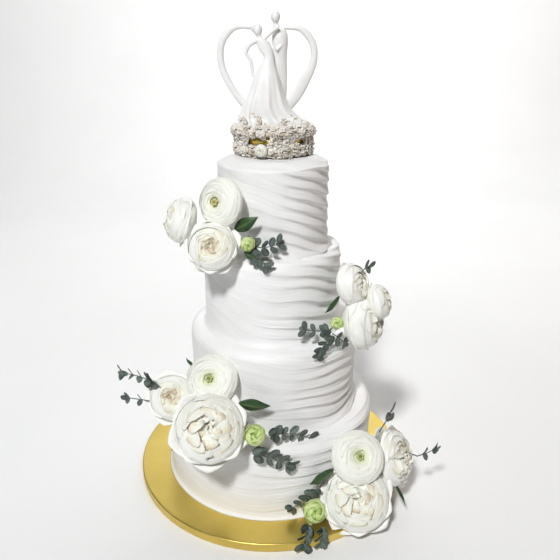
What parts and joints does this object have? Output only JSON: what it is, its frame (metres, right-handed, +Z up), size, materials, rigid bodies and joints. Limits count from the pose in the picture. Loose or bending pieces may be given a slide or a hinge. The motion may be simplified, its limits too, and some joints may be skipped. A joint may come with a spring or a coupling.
{
  "type": "tiered wedding cake",
  "caption": "Tiered wedding cake in swept white buttercream on a round gold drum, with sprays of white roses, ranunculus and eucalyptus, and a porcelain couple topper before an open heart.",
  "frame": {"origin": "centre of the cake drum's underside", "axes": "+Z up the tiers, -Y towards the viewer, +X to the viewer's right"},
  "size_m": [0.4446, 0.4191, 0.6613],
  "materials": {
    "buttercream": "soft matte buttercream with swept spatula strokes",
    "gold_foil": "satin gold foil",
    "petal": "soft fresh petal, creamy white",
    "bud_green": "fresh lime green bud",
    "leaf_green": "dark green leaf with a slight sheen",
    "eucalyptus": "waxy grey-green leaf",
    "porcelain": "matt white porcelain",
    "floret": "tiny cream and beige blossoms and pearls"
  },
  "bodies": {
    "root": {"cake_drum": "gold_foil", "tier_bottom": "buttercream", "tier_lower": "buttercream", "tier_upper": "buttercream", "tier_top": "buttercream", "top_ranunculus": "petal", "top_rose": "petal", "top_rose_side": "petal", "right_rose_upper": "petal", "right_rose_lower": "petal", "right_rose_back": "petal", "left_garden_rose": "petal", "left_ranunculus": "petal", "left_ranunculus_pale": "petal", "low_garden_rose": "petal", "low_ranunculus": "petal", "low_rose_side": "petal", "top_bud": "bud_green", "right_bud": "bud_green", "left_bud": "bud_green", "low_bud": "bud_green", "top_leaf": "leaf_green", "top_leaf_low": "leaf_green", "top_leaf_back": "leaf_green", "right_leaf": "leaf_green", "left_leaf": "leaf_green", "left_leaf_tip": "leaf_green", "left_leaf_low": "leaf_green", "low_leaf": "leaf_green", "low_leaf_right": "leaf_green", "top_sprig": "eucalyptus", "top_sprig_low": "eucalyptus", "right_sprig": "eucalyptus", "right_sprig_low": "eucalyptus", "right_sprig_mid": "eucalyptus", "right_sprig_top": "eucalyptus", "left_sprig": "eucalyptus", "left_sprig_low": "eucalyptus", "left_sprig_out": "eucalyptus", "left_twig_out": "eucalyptus", "low_sprig": "eucalyptus", "low_sprig_down": "eucalyptus", "low_sprig_edge": "eucalyptus", "low_sprig_out": "eucalyptus", "low_sprig_top": "eucalyptus", "topper_foot": "porcelain", "topper_bride": "porcelain", "topper_groom": "porcelain", "topper_heart_left": "porcelain", "topper_heart_right": "porcelain", "topper_band": "gold_foil", "topper_florets_upper": "floret", "topper_florets_lower": "floret", "topper_satin_rose": "petal"}
  },
  "joints": []
}
